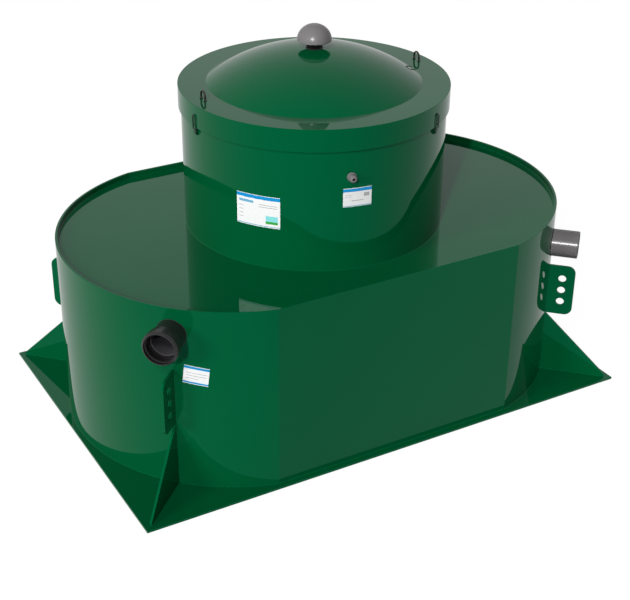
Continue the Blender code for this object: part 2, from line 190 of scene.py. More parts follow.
def new_finish(name):
    """An empty material with its tree, shader and the piece's own coordinates."""
    material = bpy.data.materials.new(name)
    material.use_nodes = True
    tree = material.node_tree
    shader = tree.nodes["Principled BSDF"]
    coordinates = tree.nodes.new("ShaderNodeTexCoord").outputs["Object"]
    return material, tree, shader, coordinates


def add_grain(tree, shader, height, strength, distance):
    """Fine relief of the surface."""
    bump = tree.nodes.new("ShaderNodeBump")
    bump.inputs["Strength"].default_value = strength
    bump.inputs["Distance"].default_value = distance
    tree.links.new(height, bump.inputs["Height"])
    tree.links.new(bump.outputs["Normal"], shader.inputs["Normal"])


SKIN = (600.0, 0.05, 0.00004)
SMOOTH_SKIN = (900.0, 0.02, 0.00001)
WELD_SKIN = (150.0, 0.2, 0.0003)


def moulded_finish(name, colour, shade, gloss, seed, tint=None, grain=SKIN, shine=0.5):
    """Plastic with faint clouds of colour, uneven gloss and a fine skin."""
    material, tree, shader, place = new_finish(name)
    clouds = spread(tree, speckle(tree, place, 3.0, 5.0, seed), 0.0, 1.0)
    tree.links.new(blend_colours(tree, clouds, colour, shade), shader.inputs["Base Color"])
    smudges = speckle(tree, place, 11.0, 6.0, seed + 1.0)
    tree.links.new(spread(tree, smudges, gloss[0], gloss[1]), shader.inputs["Roughness"])
    scale, strength, distance = grain
    add_grain(tree, shader, speckle(tree, place, scale, 2.0, seed + 2.0), strength, distance)
    socket(shader, "IOR", 1.5)
    socket(shader, "Specular IOR Level", shine)
    if tint:
        socket(shader, "Specular Tint", (*tint, 1.0))
    return material


def within(tree, value, low, high):
    """One where a value lies between two limits, else zero."""
    test = tree.nodes.new("ShaderNodeMath")
    test.operation = "COMPARE"
    test.inputs[1].default_value = (low + high) / 2
    test.inputs[2].default_value = (high - low) / 2
    tree.links.new(value, test.inputs[0])
    return test.outputs[0]


def label_finish(name, marks):
    """Printed film: white, with plain oblong marks of (left, right, low, high, colour) on its own UV."""
    material, tree, shader, place = new_finish(name)
    uv = tree.nodes.new("ShaderNodeTexCoord").outputs["UV"]
    split = tree.nodes.new("ShaderNodeSeparateXYZ")
    tree.links.new(uv, split.inputs[0])
    colour = blend_colours(tree, spread(tree, speckle(tree, place, 60.0, 3.0, 4.0), 0.0, 1.0), WHITE, DULL_WHITE)
    for left, right, low, high, ink in marks:
        both = tree.nodes.new("ShaderNodeMath")
        both.operation = "MULTIPLY"
        tree.links.new(within(tree, split.outputs["X"], left, right), both.inputs[0])
        tree.links.new(within(tree, split.outputs["Y"], low, high), both.inputs[1])
        mix = tree.nodes.new("ShaderNodeMix")
        mix.data_type = "RGBA"
        tree.links.new(both.outputs[0], mix.inputs[0])
        tree.links.new(colour, mix.inputs[6])
        mix.inputs[7].default_value = (*ink, 1.0)
        colour = mix.outputs[2]
    tree.links.new(colour, shader.inputs["Base Color"])
    tree.links.new(spread(tree, speckle(tree, place, 40.0, 3.0, 5.0), 0.22, 0.34), shader.inputs["Roughness"])
    add_grain(tree, shader, speckle(tree, place, 900.0, 2.0, 6.0), 0.04, 0.00002)
    return material


def wire_finish(name):
    """Dull dark drawn steel wire."""
    material, tree, shader, place = new_finish(name)
    shade = spread(tree, speckle(tree, place, 180.0, 4.0, 9.0), 0.0, 1.0)
    tree.links.new(blend_colours(tree, shade, (0.060, 0.050, 0.048), (0.12, 0.105, 0.10)), shader.inputs["Base Color"])
    tree.links.new(spread(tree, speckle(tree, place, 300.0, 3.0, 10.0), 0.22, 0.4), shader.inputs["Roughness"])
    socket(shader, "Metallic", 1.0)
    return material


GREEN = (0.0, 0.087, 0.0270)
GREEN_SHADE = (0.0, 0.082, 0.0252)
GREEN_TINT = (0.0, 0.70, 0.40)
# The body's green darkened: painted shade for the latches.
PAINTED_SHADE_GREEN = (0.0, 0.030, 0.012)
WHITE = (0.88, 0.885, 0.885)
DULL_WHITE = (0.84, 0.85, 0.855)
BAND_BLUE = (0.0, 0.27, 0.62)
PALE_BLUE = (0.16, 0.42, 0.60)
PALE_CYAN = (0.25, 0.70, 0.72)
SOFT_GREEN = (0.05, 0.36, 0.05)
RULE_GREY = (0.42, 0.43, 0.44)

GREEN_SHEET = moulded_finish("green_sheet", GREEN, GREEN_SHADE, (0.015, 0.035), 1.0, GREEN_TINT)
GREEN_WELD = moulded_finish("green_weld", GREEN, GREEN_SHADE, (0.10, 0.2), 2.0, GREEN_TINT, WELD_SKIN)
# Latch finish: a darker copy of the body's green, painted shade.
LATCH_PAINTED_SHADE_MOULD = moulded_finish("latch_painted_shade_mould", PAINTED_SHADE_GREEN, (0.0, 0.026, 0.014), (0.14, 0.26), 3.0)
BLACK_PIPE = moulded_finish("black_pipe", (0.012, 0.011, 0.012), (0.016, 0.014, 0.015), (0.2, 0.32), 5.0)
# Vent pipe: near-black and dull, painted shade of the gap under the cap.
PAINTED_SHADE_SLEEVE = moulded_finish("painted_shade_sleeve", (0.004, 0.004, 0.004), (0.006, 0.006, 0.006), (0.4, 0.5), 11.0, None,
                              SKIN, 0.15)
BLACK_RUBBER = moulded_finish("black_rubber", (0.010, 0.010, 0.010), (0.016, 0.015, 0.016), (0.45, 0.6), 6.0)
DARK_PIPE = moulded_finish("dark_pipe", (0.060, 0.058, 0.064), (0.050, 0.048, 0.053), (0.3, 0.4), 12.0)
GREY_PIPE = moulded_finish("grey_pipe", (0.155, 0.145, 0.150), (0.145, 0.136, 0.141), (0.22, 0.25), 7.0, None,
                           SMOOTH_SKIN, 0.25)
GREY_CAP = moulded_finish("grey_cap", (0.185, 0.176, 0.180), (0.175, 0.167, 0.171), (0.29, 0.33), 8.0, None,
                          SMOOTH_SKIN, 0.3)
STEEL_WIRE = wire_finish("steel_wire")
LARGE_LABEL_FILM = label_finish("large_label_film", [
    (0.0, 1.0, 0.875, 0.985, BAND_BLUE),
    (0.06, 0.40, 0.72, 0.80, PALE_BLUE),
    (0.52, 0.94, 0.70, 0.72, RULE_GREY),
    (0.52, 0.94, 0.63, 0.65, RULE_GREY),
    (0.06, 0.16, 0.58, 0.60, RULE_GREY),
    (0.06, 0.16, 0.46, 0.48, RULE_GREY),
    (0.06, 0.16, 0.34, 0.36, RULE_GREY),
    (0.06, 0.16, 0.22, 0.24, RULE_GREY),
    (0.68, 0.95, 0.12, 0.38, PALE_CYAN),
    (0.68, 0.95, 0.12, 0.20, SOFT_GREEN),
    (0.0, 1.0, 0.02, 0.045, PALE_BLUE),
])
SMALL_LABEL_FILM = label_finish("small_label_film", [
    (0.0, 1.0, 0.80, 0.97, BAND_BLUE),
    (0.06, 0.32, 0.62, 0.64, RULE_GREY),
    (0.06, 0.32, 0.52, 0.54, RULE_GREY),
    (0.30, 0.70, 0.30, 0.34, RULE_GREY),
    (0.72, 0.92, 0.50, 0.70, RULE_GREY),
    (0.0, 1.0, 0.02, 0.06, PALE_BLUE),
])
INLET_LABEL_FILM = label_finish("inlet_label_film", [
    (0.0, 1.0, 0.84, 0.97, BAND_BLUE),
    (0.0, 1.0, 0.03, 0.12, BAND_BLUE),
    (0.10, 0.90, 0.60, 0.63, RULE_GREY),
    (0.10, 0.90, 0.45, 0.48, RULE_GREY),
    (0.10, 0.60, 0.30, 0.33, RULE_GREY),
])


# ---------------------------------------------------------------- makers

def finish_piece(piece, finish, nodes):
    """Lay a made piece down: plain mesh at the origin, riding on the unit, for its CAD nodes."""
    bpy.context.view_layer.update()
    graph = bpy.context.evaluated_depsgraph_get()
    mesh = bpy.data.meshes.new_from_object(piece.evaluated_get(graph), depsgraph=graph)
    place = piece.matrix_world.copy()
    name = piece.name
    bpy.data.objects.remove(piece, do_unlink=True)
    mesh.transform(place)
    mesh.name = name
    mesh.materials.clear()
    mesh.materials.append(finish)
    made = bpy.data.objects.new(name, mesh)
    made.name = name
    bpy.context.scene.collection.objects.link(made)
    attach(made, "root")
    if nodes:
        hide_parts(*nodes)
    return made


def shade(piece, degrees=35.0):
    """Smooth shading with sharp corners, and big faces kept flat."""
    piece.data.shade_smooth()
    piece.data.set_sharp_from_angle(angle=math.radians(degrees))
    weigh = piece.modifiers.new("weigh", "WEIGHTED_NORMAL")
    weigh.keep_sharp = True
    weigh.weight = 100


def raw_piece(name, vertices, faces, matrix=None):
    """An object from vertices and faces, doubles merged, faces outwards."""
    mesh = bpy.data.meshes.new(name)
    shape = bmesh.new()
    made = [shape.verts.new(v) for v in vertices]
    for face in faces:
        shape.faces.new([made[i] for i in face])
    bmesh.ops.remove_doubles(shape, verts=shape.verts, dist=0.0000005)
    bmesh.ops.recalc_face_normals(shape, faces=shape.faces)
    shape.to_mesh(mesh)
    shape.free()
    piece = bpy.data.objects.new(name, mesh)
    piece.matrix_world = matrix or Matrix()
    bpy.context.scene.collection.objects.link(piece)
    return piece


def arc(centre_x, centre_y, radius, start, end, steps):
    """Points of an arc, angles in radians, both ends included."""
    points = []
    for i in range(steps + 1):
        angle = start + (end - start) * i / steps
        points.append((centre_x + radius * math.cos(angle), centre_y + radius * math.sin(angle)))
    return points


def circle(centre_x, centre_y, radius, steps):
    """A closed circle of points."""
    return arc(centre_x, centre_y, radius, 0.0, 2 * math.pi, steps)[:-1]


def rounded(profile, radii, steps=4):
    """A closed profile whose corners are rounded; radii has one value a corner, 0 leaves it sharp."""
    points = []
    count = len(profile)
    for i, radius in enumerate(radii):
        here = Vector(profile[i])
        if radius <= 0.0:
            points.append(tuple(here))
            continue
        back = (Vector(profile[i - 1]) - here).normalized()
        ahead = (Vector(profile[(i + 1) % count]) - here).normalized()
        half = back.angle(ahead) / 2
        reach = radius / math.tan(half)
        centre = here + (back + ahead).normalized() * (radius / math.sin(half))
        first = here + back * reach - centre
        last = here + ahead * reach - centre
        turn = first.angle_signed(last)
        for k in range(steps + 1):
            spoke = first.copy()
            spoke.rotate(Matrix.Rotation(-turn * k / steps, 2))
            points.append(tuple(centre + spoke))
    return points


def turned(name, profile, matrix, finish, nodes, steps=ROUND_STEPS, degrees=35.0):
    """A turned piece from a closed profile of (radius, height) points."""
    vertices, rings = [], []
    for radius, height in profile:
        if radius < 0.0000001:
            rings.append([len(vertices)] * steps)
            vertices.append((0.0, 0.0, height))
            continue
        rings.append(list(range(len(vertices), len(vertices) + steps)))
        for k in range(steps):
            angle = 2 * math.pi * k / steps
            vertices.append((radius * math.cos(angle), radius * math.sin(angle), height))
    faces = []
    for first, second in zip(rings, rings[1:] + rings[:1]):
        for k in range(steps):
            after = (k + 1) % steps
            loop = []
            for index in (first[k], first[after], second[after], second[k]):
                if index not in loop:
                    loop.append(index)
            if len(loop) > 2:
                faces.append(loop)
    piece = raw_piece(name, vertices, faces, matrix)
    shade(piece, degrees)
    return finish_piece(piece, finish, nodes)


def plate(name, outlines, thickness, matrix, finish, nodes, edge=0.0008):
    """A plate with softly rounded edges from closed outlines; the later outlines are holes."""
    curve = bpy.data.curves.new(name, "CURVE")
    curve.dimensions = "2D"
    curve.fill_mode = "BOTH"
    curve.extrude = thickness / 2 - edge
    curve.bevel_depth = edge
    curve.bevel_resolution = 2
    curve.offset = -edge
    for outline in outlines:
        spline = curve.splines.new("POLY")
        spline.points.add(len(outline) - 1)
        for point, (x, y) in zip(spline.points, outline):
            point.co = (x, y, 0.0, 1.0)
        spline.use_cyclic_u = True
    holder = bpy.data.objects.new(name + "_curve", curve)
    bpy.context.scene.collection.objects.link(holder)
    bpy.context.view_layer.update()
    graph = bpy.context.evaluated_depsgraph_get()
    mesh = bpy.data.meshes.new_from_object(holder.evaluated_get(graph), depsgraph=graph)
    bpy.data.objects.remove(holder, do_unlink=True)
    welded = bmesh.new()
    welded.from_mesh(mesh)
    bmesh.ops.remove_doubles(welded, verts=welded.verts, dist=0.000005)
    bmesh.ops.recalc_face_normals(welded, faces=welded.faces)
    welded.to_mesh(mesh)
    welded.free()
    piece = bpy.data.objects.new(name, mesh)
    piece.matrix_world = matrix
    bpy.context.scene.collection.objects.link(piece)
    shade(piece, 30.0)
    return finish_piece(piece, finish, nodes)


def wire(name, route, radius, matrix, finish, nodes, steps=16):
    """A round wire along a route of points."""
    path = [Vector(p) for p in route]
    vertices, faces = [], []
    side = None
    for i, point in enumerate(path):
        before = path[max(i - 1, 0)]
        after = path[min(i + 1, len(path) - 1)]
        along = (after - before).normalized()
        if side is None:
            side = along.orthogonal().normalized()
        side = (side - along * side.dot(along)).normalized()
        up = along.cross(side)
        for k in range(steps):
            angle = 2 * math.pi * k / steps
            vertices.append(point + (side * math.cos(angle) + up * math.sin(angle)) * radius)
    for i in range(len(path) - 1):
        for k in range(steps):
            after = (k + 1) % steps
            faces.append((i * steps + k, i * steps + after, (i + 1) * steps + after, (i + 1) * steps + k))
    faces.append(list(range(steps))[::-1])
    faces.append([(len(path) - 1) * steps + k for k in range(steps)])
    piece = raw_piece(name, vertices, faces, matrix)
    shade(piece, 50.0)
    return finish_piece(piece, finish, nodes)


def new_tree(name, sizes):
    """An empty Geometry Nodes tree that takes a mesh, named sizes and a finish."""
    tree = bpy.data.node_groups.new(name, "GeometryNodeTree")
    tree.interface.new_socket(name="Paths", in_out="INPUT", socket_type="NodeSocketGeometry")
    for size in sizes:
        tree.interface.new_socket(name=size, in_out="INPUT", socket_type="NodeSocketFloat")
    tree.interface.new_socket(name="Finish", in_out="INPUT", socket_type="NodeSocketMaterial")
    tree.interface.new_socket(name="Made", in_out="OUTPUT", socket_type="NodeSocketGeometry")
    return tree, tree.nodes.new("NodeGroupInput"), tree.nodes.new("NodeGroupOutput")


def close_tree(tree, given, result, made):
    """End a tree in smooth shading, real geometry and its finish."""
    smooth = tree.nodes.new("GeometryNodeSetShadeSmooth")
    real = tree.nodes.new("GeometryNodeRealizeInstances")
    coat = tree.nodes.new("GeometryNodeSetMaterial")
    tree.links.new(made, smooth.inputs["Geometry"])
    tree.links.new(smooth.outputs["Geometry"], real.inputs["Geometry"])
    tree.links.new(real.outputs["Geometry"], coat.inputs["Geometry"])
    tree.links.new(given.outputs["Finish"], coat.inputs["Material"])
    tree.links.new(coat.outputs["Geometry"], result.inputs["Made"])


def math_node(tree, operation, first, second):
    """A sum on a field; the second value is a number or another socket."""
    step = tree.nodes.new("ShaderNodeMath")
    step.operation = operation
    tree.links.new(first, step.inputs[0])
    if isinstance(second, float):
        step.inputs[1].default_value = second
    else:
        tree.links.new(second, step.inputs[1])
    return step.outputs[0]


def bead_tree():
    """Nodes that lay a rippled bead along every path."""
    tree, given, result = new_tree("bead_along_paths", ("Bead radius", "Step", "Ripple pitch", "Ripple depth"))
    curve = tree.nodes.new("GeometryNodeMeshToCurve")
    even = tree.nodes.new("GeometryNodeResampleCurve")
    even.mode = "LENGTH"
    tree.links.new(given.outputs["Paths"], curve.inputs["Mesh"])
    tree.links.new(curve.outputs["Curve"], even.inputs["Curve"])
    tree.links.new(given.outputs["Step"], even.inputs["Length"])
    along = tree.nodes.new("GeometryNodeSplineParameter").outputs["Length"]
    turns = math_node(tree, "DIVIDE", along, given.outputs["Ripple pitch"])
    wave = math_node(tree, "SINE", math_node(tree, "MULTIPLY", turns, 2 * math.pi), 0.0)
    size = math_node(tree, "ADD", math_node(tree, "MULTIPLY", wave, given.outputs["Ripple depth"]), 1.0)
    section = tree.nodes.new("GeometryNodeCurvePrimitiveCircle")
    section.inputs["Resolution"].default_value = BEAD_SIDES
    tree.links.new(given.outputs["Bead radius"], section.inputs["Radius"])
    sweep = tree.nodes.new("GeometryNodeCurveToMesh")
    sweep.inputs["Fill Caps"].default_value = True
    tree.links.new(even.outputs["Curve"], sweep.inputs["Curve"])
    tree.links.new(section.outputs["Curve"], sweep.inputs["Profile Curve"])
    tree.links.new(size, sweep.inputs["Scale"])
    close_tree(tree, given, result, sweep.outputs["Mesh"])
    return tree


def collar_tree():
    """Nodes that stand a small tapered collar on every point."""
    tree, given, result = new_tree("collar_on_points", ("Foot radius", "Top radius", "Height"))
    cone = tree.nodes.new("GeometryNodeMeshCone")
    cone.inputs["Vertices"].default_value = COLLAR_SIDES
    cone.inputs["Side Segments"].default_value = 3
    tree.links.new(given.outputs["Foot radius"], cone.inputs["Radius Bottom"])
    tree.links.new(given.outputs["Top radius"], cone.inputs["Radius Top"])
    tree.links.new(given.outputs["Height"], cone.inputs["Depth"])
    stand = tree.nodes.new("GeometryNodeInstanceOnPoints")
    tree.links.new(given.outputs["Paths"], stand.inputs["Points"])
    tree.links.new(cone.outputs["Mesh"], stand.inputs["Instance"])
    close_tree(tree, given, result, stand.outputs["Instances"])
    return tree


def grown(name, paths, tree, sizes, finish):
    """A piece that a Geometry Nodes tree grows from paths of points; a path is (points, closed)."""
    vertices, edges = [], []
    for points, closed in paths:
        first = len(vertices)
        vertices += [tuple(point) for point in points]
        edges += [(first + i, first + i + 1) for i in range(len(points) - 1)]
        if closed:
            edges.append((len(vertices) - 1, first))
    mesh = bpy.data.meshes.new(name)
    mesh.from_pydata(vertices, edges, [])
    holder = bpy.data.objects.new(name + "_paths", mesh)
    grower = holder.modifiers.new("grow", "NODES")
    grower.node_group = tree
    for item in tree.interface.items_tree:
        if item.in_out == "INPUT" and item.name in sizes:
            grower[item.identifier] = sizes[item.name]
        if item.in_out == "INPUT" and item.name == "Finish":
            grower[item.identifier] = finish
    bpy.context.scene.collection.objects.link(holder)
    bpy.context.view_layer.update()
    graph = bpy.context.evaluated_depsgraph_get()
    plain = bpy.data.meshes.new_from_object(holder.evaluated_get(graph), depsgraph=graph)
    bpy.data.objects.remove(holder, do_unlink=True)
    outward = bmesh.new()
    outward.from_mesh(plain)
    bmesh.ops.recalc_face_normals(outward, faces=outward.faces)
    outward.to_mesh(plain)
    outward.free()
    piece = bpy.data.objects.new(name, plain)
    bpy.context.scene.collection.objects.link(piece)
    return finish_piece(piece, finish, [])


def upright_frame(x, y, z, angle):
    """A frame whose X points out along an angle, whose Y points up, and Z sideways."""
    out = Vector((math.cos(angle), math.sin(angle), 0.0))
    side = Vector((math.sin(angle), -math.cos(angle), 0.0))
    rotation = Matrix((out, Vector((0.0, 0.0, 1.0)), side)).transposed()
    return Matrix.Translation((x, y, z)) @ rotation.to_4x4()


def radial_frame(x, y, z, angle):
    """A frame whose Z points out along an angle, for pieces turned about that line."""
    out = Vector((math.cos(angle), math.sin(angle), 0.0))
    side = Vector((-math.sin(angle), math.cos(angle), 0.0))
    rotation = Matrix((side, Vector((0.0, 0.0, 1.0)), out)).transposed()
    return Matrix.Translation((x, y, z)) @ rotation.to_4x4()


def end_point(sign_x, angle, reach):
    """A point at a reach from the round end's wall, on the line out of its centre."""
    run = END_RADIUS + reach
    return sign_x * END_CENTRE_X + run * math.cos(angle), run * math.sin(angle)


def corner_angle(sign_x, sign_y):
    """Direction from a round end's centre to the plate corner beside it."""
    angle = CORNER_ANGLE if sign_x > 0 else math.pi - CORNER_ANGLE
    return angle * sign_y


# ---------------------------------------------------------------- tank

def make_base():
    """The base sheet."""
    half_x, half_y = PLATE_LENGTH / 2, PLATE_WIDTH / 2
    outline = [(-half_x, -half_y), (half_x, -half_y), (half_x, half_y), (-half_x, half_y)]
    place = Matrix.Translation((0.0, 0.0, SHEET / 2))
    plate("base_sheet", [outline], SHEET, place, GREEN_SHEET, ["base_plate"])


def make_walls():
    """The two flat sides and the two round ends, with a softened rim."""
    half_y = TANK_WIDTH / 2
    section = [(0.0, RIM_Z), (0.0, SHEET), (-SHEET, SHEET), (-SHEET, RIM_Z)]
    section = rounded(section, (RIM_ROUND, 0.0, 0.0, RIM_ROUND))
    count = len(section)
    for name, sign in (("front", -1), ("back", 1)):
        vertices = []
        for x in (-FLAT_HALF_LENGTH, FLAT_HALF_LENGTH):
            vertices += [(x, sign * (half_y + out), z) for out, z in section]
        faces = [(k, (k + 1) % count, (k + 1) % count + count, k + count) for k in range(count)]
        faces += [list(range(count)), list(range(count, 2 * count))]
        piece = raw_piece(f"{name}_side_sheet", vertices, faces)
        shade(piece)
        finish_piece(piece, GREEN_SHEET, [f"tank_{name}_wall"])
    reach_x = FLAT_HALF_LENGTH - END_CENTRE_X
    for name, sign in (("left", -1), ("right", 1)):
        z, run = (INLET_Z, INLET_REACH) if sign < 0 else (OUTLET_Z, OUTLET_REACH)
        rows = []
        for out, height in section:
            rows.append((out, height))
            if out == 0.0 and height > z + 0.07:
                rows.append((0.0, z + 0.065))
                rows.append((0.0, z - 0.065))
            if out == -SHEET and height == SHEET:
                rows.append((-SHEET, z - 0.065))
                rows.append((-SHEET, z + 0.065))
        tall = len(rows)
        vertices = []
        for i in range(END_STEPS + 1):
            for out, height in rows:
                radius = END_RADIUS + out
                angle = math.acos(reach_x / radius) * (2 * i / END_STEPS - 1)
                vertices.append((sign * (END_CENTRE_X + radius * math.cos(angle)), radius * math.sin(angle), height))
        faces = []
        for i in range(END_STEPS):
            for k in range(tall):
                after = (k + 1) % tall
                faces.append((i * tall + k, i * tall + after, (i + 1) * tall + after, (i + 1) * tall + k))
        faces.append(list(range(tall)))
        faces.append([END_STEPS * tall + k for k in range(tall)])
        piece = raw_piece(f"{name}_end_sheet", vertices, faces)
        angle = corner_angle(sign, -1)
        x, y = end_point(sign, angle, 0.0)
        drill_mesh = bpy.data.meshes.new("drill")
        drill = bmesh.new()
        bmesh.ops.create_cone(drill, cap_ends=True, segments=PIPE_STEPS, radius1=PIPE_RADIUS + GAP,
                              radius2=PIPE_RADIUS + GAP, depth=0.3)
        drill.to_mesh(drill_mesh)
        drill.free()
        cutter = bpy.data.objects.new("drill", drill_mesh)
        cutter.matrix_world = radial_frame(x, y, z, angle)
        bpy.context.scene.collection.objects.link(cutter)
        bore = piece.modifiers.new("bore", "BOOLEAN")
        bore.operation = "DIFFERENCE"
        bore.object = cutter
        bpy.context.view_layer.update()
        graph = bpy.context.evaluated_depsgraph_get()
        bored = bpy.data.meshes.new_from_object(piece.evaluated_get(graph), depsgraph=graph)
        piece.modifiers.clear()
        piece.data = bored
        bpy.data.objects.remove(cutter, do_unlink=True)
        shade(piece)
        finish_piece(piece, GREEN_SHEET, [f"tank_{name}_end"])


def make_deck():
    """The flat roof inside the rim."""
    radius = END_RADIUS - SHEET
    half_y = TANK_WIDTH / 2 - SHEET
    bend = math.asin(half_y / radius)
    outline = arc(END_CENTRE_X, 0.0, radius, -bend, bend, END_STEPS)
    outline += arc(-END_CENTRE_X, 0.0, radius, math.pi - bend, math.pi + bend, END_STEPS)
    hole = circle(0.0, 0.0, NECK_RADIUS - NECK_T, ROUND_STEPS)
    place = Matrix.Translation((0.0, 0.0, DECK_TOP_Z - DECK_T / 2))
    plate("deck_sheet", [outline, hole], DECK_T, place, GREEN_SHEET, ["tank_deck"], 0.0002)


# ---------------------------------------------------------------- neck and lid

def tube(outer, inner, bottom, top):
    """A closed tube profile, outer side first."""
    return [(outer, top), (outer, bottom), (inner, bottom), (inner, top)]


def make_neck():
    """The round service neck."""
    profile = tube(NECK_RADIUS, NECK_RADIUS - NECK_T, DECK_TOP_Z, RING_TOP_Z - RING_T - GAP)
    turned("neck_sheet", profile, Matrix(), GREEN_SHEET, ["neck_wall"])


def make_lid():
    """Skirt, ring and dome of the lid."""
    ring_bottom = RING_TOP_Z - RING_T
    skirt = rounded(tube(LID_RADIUS, LID_RADIUS - SKIRT_T, SKIRT_BOTTOM_Z, ring_bottom), (0.0, 0.0008, 0.0008, 0.0))
    turned("lid_skirt_sheet", skirt, Matrix(), GREEN_SHEET, ["lid_skirt"])
    ring = rounded(tube(LID_RADIUS, RING_HOLE_RADIUS, ring_bottom, RING_TOP_Z), (0.0012, 0.0, 0.001, 0.001))
    turned("lid_ring_sheet", ring, Matrix(), GREEN_SHEET, ["lid_ring"])
    sphere = (DOME_RADIUS**2 + DOME_RISE**2) / (2 * DOME_RISE)
    centre_z = RING_TOP_Z + DOME_RISE - sphere
    shell = sphere - DOME_T
    hole = VENT_PIPE_RADIUS
    steps = 40
    outer = (math.asin(hole / sphere), math.asin(DOME_RADIUS / sphere))
    inner = (math.acos((RING_TOP_Z - centre_z) / shell), math.asin(hole / shell))
    profile = []
    for size, (start, end) in ((sphere, outer), (shell, inner)):
        for i in range(steps + 1):
            angle = start + (end - start) * i / steps
            profile.append((size * math.sin(angle), centre_z + size * math.cos(angle)))
    turned("dome_shell", profile, Matrix(), GREEN_SHEET, ["lid_dome"])


def make_lid_seal_shadow_line():
    """The rubber lip between the skirt's foot and the neck, hanging below the skirt as a black line of painted shadow.
    """
    seal = tube(LID_RADIUS - SKIRT_T - GAP, NECK_RADIUS + GAP, SKIRT_BOTTOM_Z - SEAL_SHADOW_LINE_HANG, SKIRT_BOTTOM_Z + 0.004)
    turned("lid_seal_shadow_line", rounded(seal, (0.0005, 0.0012, 0.0012, 0.0005)), Matrix(), BLACK_RUBBER, [])


def rounded_crown(across, crown_angle):
    """The mushroom cap's side from its small flat crown down to its widest line."""
    side = [(across * x, VENT_CAP_Z + VENT_CAP_RISE * y) for x, y in arc(0.0, 0.0, 1.0, crown_angle, 0.0, 28)]
    edge = Vector(side[0])
    flat = edge - Vector((CROWN_EDGE_ROUND, 0.0))
    after = Vector(side[2])
    softened = []
    for step in range(7):
        t = step / 6
        softened.append(tuple(flat * (1 - t) ** 2 + edge * (2 * t * (1 - t)) + after * t**2))
    return softened + side[3:]


def make_vent():
    """The vent's pipe, near-black as painted shade under the cap, and its mushroom cap."""
    top = VENT_CAP_Z + VENT_CAP_T
    bottom = RING_TOP_Z + DOME_RISE - 0.040
    pipe = tube(VENT_PIPE_RADIUS, VENT_PIPE_RADIUS - VENT_PIPE_T, bottom, top)
    turned("vent_pipe", pipe, Matrix(), PAINTED_SHADE_SLEEVE, ["vent_stem"], PIPE_STEPS)
    foot_z = RING_TOP_Z + DOME_RISE
    grommet = [
        (VENT_PIPE_RADIUS + 0.0035, foot_z - 0.002),
        (VENT_PIPE_RADIUS + 0.003, foot_z + 0.0005),
        (VENT_PIPE_RADIUS + 0.0015, foot_z + 0.0025),
        (VENT_PIPE_RADIUS + GAP, foot_z + 0.003),
        (VENT_PIPE_RADIUS + GAP, foot_z - 0.002),
    ]
    turned("vent_grommet", rounded(grommet, (0.0, 0.0006, 0.0006, 0.0002, 0.0)), Matrix(), BLACK_RUBBER,
           [], PIPE_STEPS, 60.0)
    across = VENT_CAP_RADIUS
    crown_angle = math.asin(VENT_CAP_CROWN / VENT_CAP_RISE)
    profile = [(0.0, VENT_CAP_Z + VENT_CAP_CROWN)]
    profile += rounded_crown(across, crown_angle)
    mouth = -math.acos(VENT_CAP_MOUTH_RADIUS / across)
    profile += [(across * x, VENT_CAP_Z + VENT_CAP_DROP * y) for x, y in arc(0.0, 0.0, 1.0, 0.0, mouth, 14)[1:]]
    mouth_z = profile[-1][1]
    sleeve = VENT_PIPE_RADIUS + VENT_CAP_T
    profile += [
        (VENT_CAP_MOUTH_RADIUS - VENT_CAP_T / 2, mouth_z),
        (across - VENT_CAP_T, VENT_CAP_Z),
        (sleeve + VENT_CAP_T, VENT_CAP_Z + VENT_CAP_RISE / 2),
        (sleeve, VENT_CAP_Z + VENT_CAP_RISE / 3),
        (sleeve, mouth_z),
        (VENT_PIPE_RADIUS + GAP, mouth_z),
        (VENT_PIPE_RADIUS + GAP, top + GAP),
        (0.0, top + GAP),
    ]
    turned("vent_mushroom", profile, Matrix(), GREY_CAP, ["vent_cap"], PIPE_STEPS, 50.0)


# ---------------------------------------------------------------- corners and pipes

def make_corners():
    """Gusset and lug at each plate corner."""
    corner_reach = CORNER_RUN.length - END_RADIUS
    toe = corner_reach - GUSSET_TOE_CLEARANCE
    gusset = [(0.0, 0.0), (toe, 0.0), (toe, GUSSET_TOE_HEIGHT), (0.0, GUSSET_TOP_Z - WALL_FOOT_Z)]
    edge = LUG_REACH - LUG_CORNER_RADIUS
    rise = LUG_HEIGHT / 2 - LUG_CORNER_RADIUS
    lug = [(0.0, LUG_HEIGHT / 2), (0.0, -LUG_HEIGHT / 2)]
    lug += arc(edge, -rise, LUG_CORNER_RADIUS, -math.pi / 2, 0.0, 12)
    lug += arc(edge, rise, LUG_CORNER_RADIUS, 0.0, math.pi / 2, 12)
    holes = [circle(LUG_HOLE_REACH, k * LUG_HOLE_PITCH, LUG_HOLE_RADIUS, SMALL_STEPS) for k in (-1, 0, 1)]
    lug_z = GUSSET_TOP_Z + GAP + LUG_HEIGHT / 2
    for side, sign_x in (("left", -1), ("right", 1)):
        for face, sign_y in (("front", -1), ("back", 1)):
            angle = corner_angle(sign_x, sign_y)
            x, y = end_point(sign_x, angle, GAP)
            foot = upright_frame(x, y, WALL_FOOT_Z, angle)
            plate(f"gusset_sheet_{face}_{side}", [gusset], SHEET, foot, GREEN_SHEET,
                  [f"gusset_{face}_{side}"])
            middle = upright_frame(x, y, lug_z, angle)
            plate(f"lug_sheet_{face}_{side}", [lug] + holes, SHEET, middle, GREEN_SHEET,
                  [f"lug_{face}_{side}"])


